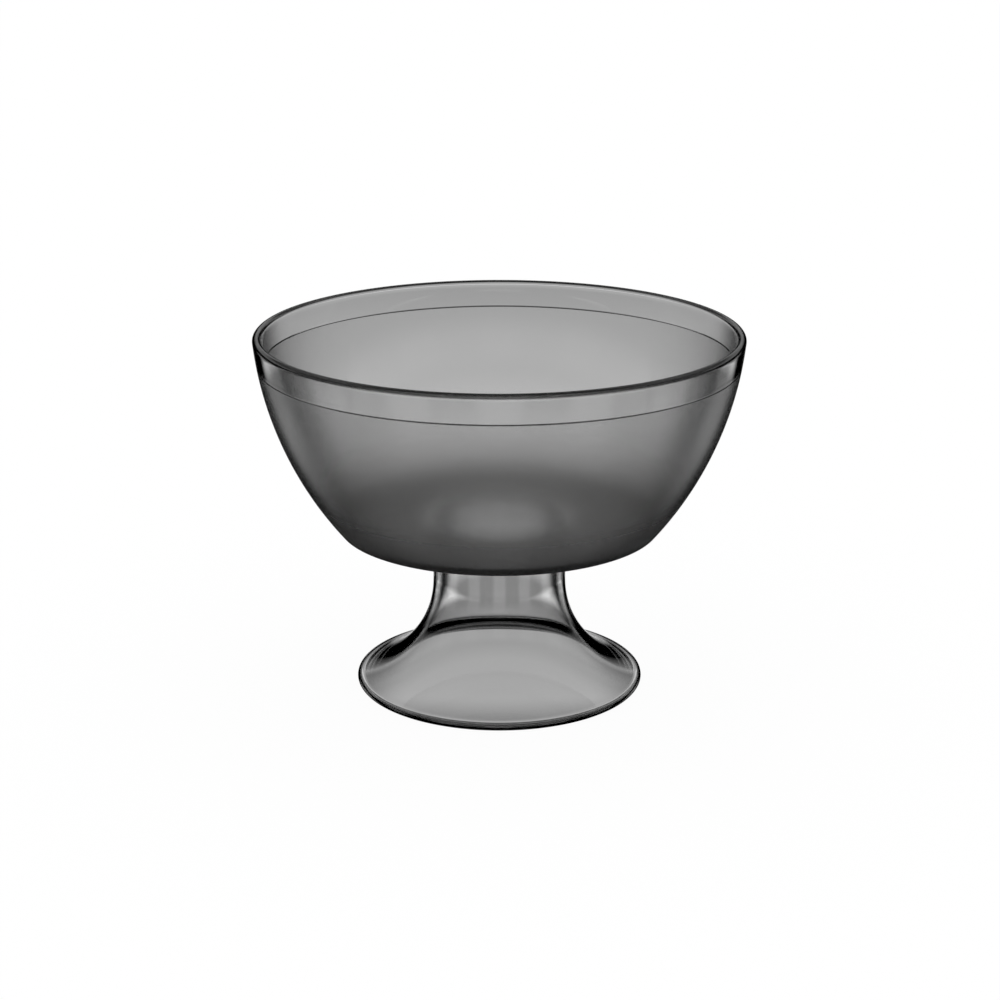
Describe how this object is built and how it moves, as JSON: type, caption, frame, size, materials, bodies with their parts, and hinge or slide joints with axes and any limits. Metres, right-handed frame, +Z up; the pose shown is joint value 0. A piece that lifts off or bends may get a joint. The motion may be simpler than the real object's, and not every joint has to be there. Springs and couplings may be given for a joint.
{
  "type": "dessert glass",
  "caption": "Low footed dessert glass in smoke-tinted clear plastic: wide bowl, frosted below a polished band at the lip, on a hollow flared foot.",
  "frame": {"origin": "centre of the plane that the foot stands on", "axes": "+Z up along the axis of revolution, from the foot to the lip"},
  "size_m": [0.12, 0.12, 0.0903],
  "materials": {
    "smoke_bowl": "smoke-tinted transparent plastic; outside frosted satin below the polished band, inside polished",
    "smoke_foot": "smoke-tinted transparent plastic, polished all over"
  },
  "bodies": {
    "root": {"bowl": "smoke_bowl", "pedestal_foot": "smoke_foot"}
  },
  "joints": []
}
